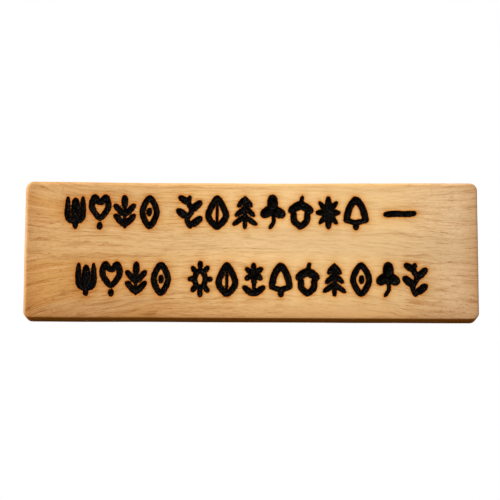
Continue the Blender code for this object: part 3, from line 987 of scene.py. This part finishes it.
class PLAQUE_OT_screws(bpy.types.Operator):
    """Turn the two slotted pan-head screws of the hanger"""

    bl_idname = "plaque.screws"
    bl_label = "Screws"

    def execute(self, context):
        for side, word, place in zip((-1, 1), SIDES, screw_places()):
            node = f"hanger_screw_{word}"
            low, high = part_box(node)
            head, radius = high.y - HEAD, (high.x - low.x) / 2
            profile = [(0, low.y), (0.9 * SHANK, low.y + 0.0018), (SHANK, low.y + 0.0024), (SHANK, head)]
            profile += [(radius - 0.0001, head), (radius, head + 0.0001)]
            for step in range(1, 9):
                angle = step * pi / 16
                profile.append((radius * cos(angle) ** 0.7, head + 0.0001 + 0.0012 * sin(angle) ** 0.9))
            profile.append((0, high.y))
            slot = bmesh.new()
            bmesh.ops.create_cube(slot, size=1.0)
            bmesh.ops.scale(slot, verts=slot.verts, vec=(0.0007, 0.0013, 0.006))
            bmesh.ops.rotate(slot, verts=slot.verts, matrix=Matrix.Rotation(radians(35 * side), 3, "Y"))
            bmesh.ops.translate(slot, verts=slot.verts, vec=(place.x, high.y, place.z))
            body = cut(mesh_of(turned(profile, place, 48), "screw"), [mesh_of(slot, "slot")])
            finish = metal_finish(f"screw_steel_{word}", context.scene.plaque_colours.screw, 0.2)
            screw = finished(f"slotted_screw_{word}", body, finish, node, sharp=radians(30))
        return {"FINISHED"}


class PLAQUE_OT_bumpers(bpy.types.Operator):
    """Mould the four rubber bumpers"""

    bl_idname = "plaque.bumpers"
    bl_label = "Bumpers"

    def execute(self, context):
        finish = rubber_finish(context.scene.plaque_colours)
        for level in ("top", "bottom"):
            for word in SIDES:
                node = f"bumper_{level}_{word}"
                low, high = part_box(node)
                radius = (high.x - low.x) / 2
                profile = [(0, low.y), (radius - 0.0002, low.y), (radius, low.y + 0.0002)]
                profile.append((radius - 0.0004, high.y - 0.0013))
                rim, middle = 0.0011, radius - 0.0016
                for step in range(1, 8):
                    angle = step * pi / 16
                    profile.append((middle + rim * cos(angle), high.y - rim + rim * sin(angle)))
                dimple = high.y - 0.00035
                profile += [(middle, high.y), (0.0022, high.y), (0.0018, dimple), (0, dimple)]
                centre = (low + high) / 2
                bumper = new_piece(f"pad_{level}_{word}", turned(profile, centre, 64), finish, node)
        return {"FINISHED"}


def aimed(obj, place, target, roll=0.0):
    obj.location = place
    turn = (Vector(target) - Vector(place)).to_track_quat("-Z", "Y").to_matrix()
    obj.rotation_euler = (turn @ Matrix.Rotation(roll, 3, "Z")).to_euler()


def soft_light(name, place, size, power):
    light = bpy.data.lights.new(name, "AREA")
    light.shape = "DISK"
    light.size = size
    light.energy = power
    obj = bpy.data.objects.new(name, light)
    bpy.context.scene.collection.objects.link(obj)
    aimed(obj, place, (0.0, 0.0, HEIGHT / 2))


def studio_sky(strength):
    """White where the camera sees it; as light, soft from above and dim from below."""
    world = bpy.data.worlds.new("studio")
    bpy.context.scene.world = world
    world.use_nodes = True
    nodes, links = world.node_tree.nodes, world.node_tree.links
    seen = nodes["Background"]
    seen.inputs["Color"].default_value = (1.0, 1.0, 1.0, 1.0)
    lit = nodes.new("ShaderNodeBackground")
    lit.inputs["Strength"].default_value = strength
    direction = nodes.new("ShaderNodeTexCoord")
    parts = nodes.new("ShaderNodeSeparateXYZ")
    height = nodes.new("ShaderNodeMapRange")
    height.interpolation_type = "SMOOTHSTEP"
    for socket, value in zip(height.inputs[1:5], (-0.45, 0.35, 0.22, 1.0)):
        socket.default_value = value
    ray = nodes.new("ShaderNodeLightPath")
    choose = nodes.new("ShaderNodeMixShader")
    links.new(direction.outputs["Generated"], parts.inputs[0])
    links.new(parts.outputs[2], height.inputs[0])
    links.new(height.outputs[0], lit.inputs["Color"])
    links.new(ray.outputs["Is Camera Ray"], choose.inputs[0])
    links.new(lit.outputs[0], choose.inputs[1])
    links.new(seen.outputs[0], choose.inputs[2])
    links.new(choose.outputs[0], nodes["World Output"].inputs["Surface"])


class PLAQUE_OT_stage(bpy.types.Operator):
    """Set the floor, the lights, the sky and the camera"""

    bl_idname = "plaque.stage"
    bl_label = "Stage"

    def execute(self, context):
        scene, stage = context.scene, context.scene.plaque_stage
        bm = bmesh.new()
        bmesh.ops.create_grid(bm, x_segments=1, y_segments=1, size=6.0)
        bmesh.ops.translate(bm, verts=bm.verts, vec=(0.0, 0.0, CAD_LOW.z - 0.0003))
        floor = bpy.data.objects.new("floor", mesh_of(bm, "floor"))
        floor.data.materials.append(floor_finish())
        scene.collection.objects.link(floor)
        floor.visible_diffuse = False
        soft_light("key", (-0.85, -1.05, 1.10), 0.5, stage.key)
        soft_light("graze", (-1.35, -0.20, 0.30), 0.4, stage.graze)
        soft_light("back", (0.9, 1.3, 0.9), 1.0, stage.rear)
        studio_sky(stage.sky)
        camera = bpy.data.cameras.new("camera")
        camera.sensor_width = 36.0
        camera.lens = 36.0 * stage.distance / stage.width
        camera.dof.use_dof = False
        eye = bpy.data.objects.new("camera", camera)
        scene.collection.objects.link(eye)
        target = Vector((-0.0008, FRONT, HEIGHT / 2 - 0.0002))
        back = Vector((0.0, -cos(stage.drop), -sin(stage.drop)))
        aimed(eye, target + back * stage.distance, target, stage.roll)
        scene.camera = eye
        scene.view_settings.view_transform = "Standard"
        return {"FINISHED"}


class PLAQUE_PT_panel(bpy.types.Panel):
    """Lists the steps that build the plaque, in order"""

    bl_label = "Plaque"
    bl_idname = "PLAQUE_PT_panel"
    bl_space_type = "VIEW_3D"
    bl_region_type = "UI"
    bl_category = "Plaque"

    def draw(self, context):
        for operator in OPERATORS:
            self.layout.operator(operator.bl_idname)
        for group in ("plaque_board", "plaque_marks", "plaque_colours", "plaque_stage"):
            values = getattr(context.scene, group)
            column = self.layout.column(align=True)
            for name in values.bl_rna.properties.keys():
                if name not in ("rna_type", "name"):
                    column.prop(values, name)


OPERATORS = (PLAQUE_OT_stage, PLAQUE_OT_board, PLAQUE_OT_hanger, PLAQUE_OT_screws, PLAQUE_OT_bumpers)
GROUPS = {
    "plaque_board": PlaqueBoardSizes,
    "plaque_marks": PlaqueMarkSizes,
    "plaque_colours": PlaqueColours,
    "plaque_stage": PlaqueStage,
}
CLASSES = (*GROUPS.values(), *OPERATORS, PLAQUE_PT_panel)


def register():
    for cls in CLASSES:
        bpy.utils.register_class(cls)
    for name, group in GROUPS.items():
        setattr(bpy.types.Scene, name, PointerProperty(type=group))


def unregister():
    for name in GROUPS:
        delattr(bpy.types.Scene, name)
    for cls in reversed(CLASSES):
        bpy.utils.unregister_class(cls)


def main():
    register()
    bpy.ops.plaque.stage()
    bpy.ops.plaque.board()
    bpy.ops.plaque.hanger()
    bpy.ops.plaque.screws()
    bpy.ops.plaque.bumpers()


if __name__ == "__main__":
    main()
